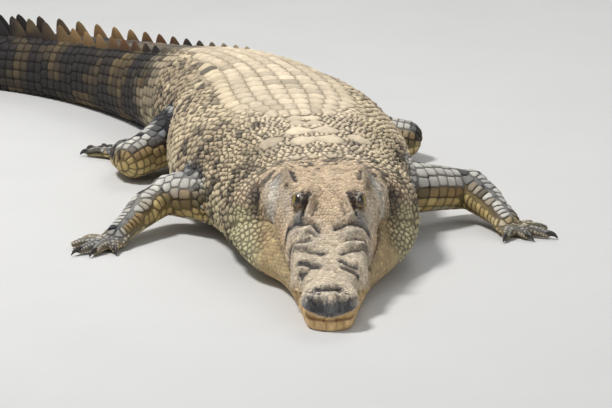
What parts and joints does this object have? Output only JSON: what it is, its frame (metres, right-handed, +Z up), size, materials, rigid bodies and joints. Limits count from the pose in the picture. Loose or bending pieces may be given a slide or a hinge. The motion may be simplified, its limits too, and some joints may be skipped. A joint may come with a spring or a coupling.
{
  "type": "nile crocodile",
  "caption": "Life-size Nile crocodile hauled out on its belly, head flat on the floor, elbows out, tail swung to its right.",
  "frame": {"origin": "on the floor under the middle of the belly", "axes": "+Z up, the snout towards -Y, the animal's left towards +X"},
  "size_m": [2.478, 2.7967, 0.288],
  "materials": {
    "back": "dry, dusty scales",
    "flank": "yellowish, finely scaled skin",
    "dark_tail": "dark brown scales, damp",
    "leg": "olive-yellow skin with dark blotches",
    "eye": "wet, golden iris with a slit pupil",
    "horn": "dark horn, slightly worn"
  },
  "bodies": {
    "root": {"head": "back", "lower_jaw": "flank", "neck": "flank", "trunk": "back", "tail_base": "back", "tail_middle": "dark_tail", "tail_end": "dark_tail", "eye_left": "eye", "eye_right": "eye", "upper_arm_left": "leg", "upper_arm_right": "leg", "forearm_left": "leg", "forearm_right": "leg", "hand_left": "leg", "hand_right": "leg", "thigh_left": "leg", "thigh_right": "leg", "shank_left": "leg", "shank_right": "leg", "foot_left": "leg", "foot_right": "leg", "claw_hand_left_1": "horn", "claw_hand_left_2": "horn", "claw_hand_left_3": "horn", "claw_hand_right_1": "horn", "claw_hand_right_2": "horn", "claw_hand_right_3": "horn", "claw_foot_left_1": "horn", "claw_foot_left_2": "horn", "claw_foot_left_3": "horn", "claw_foot_right_1": "horn", "claw_foot_right_2": "horn", "claw_foot_right_3": "horn"}
  },
  "joints": []
}
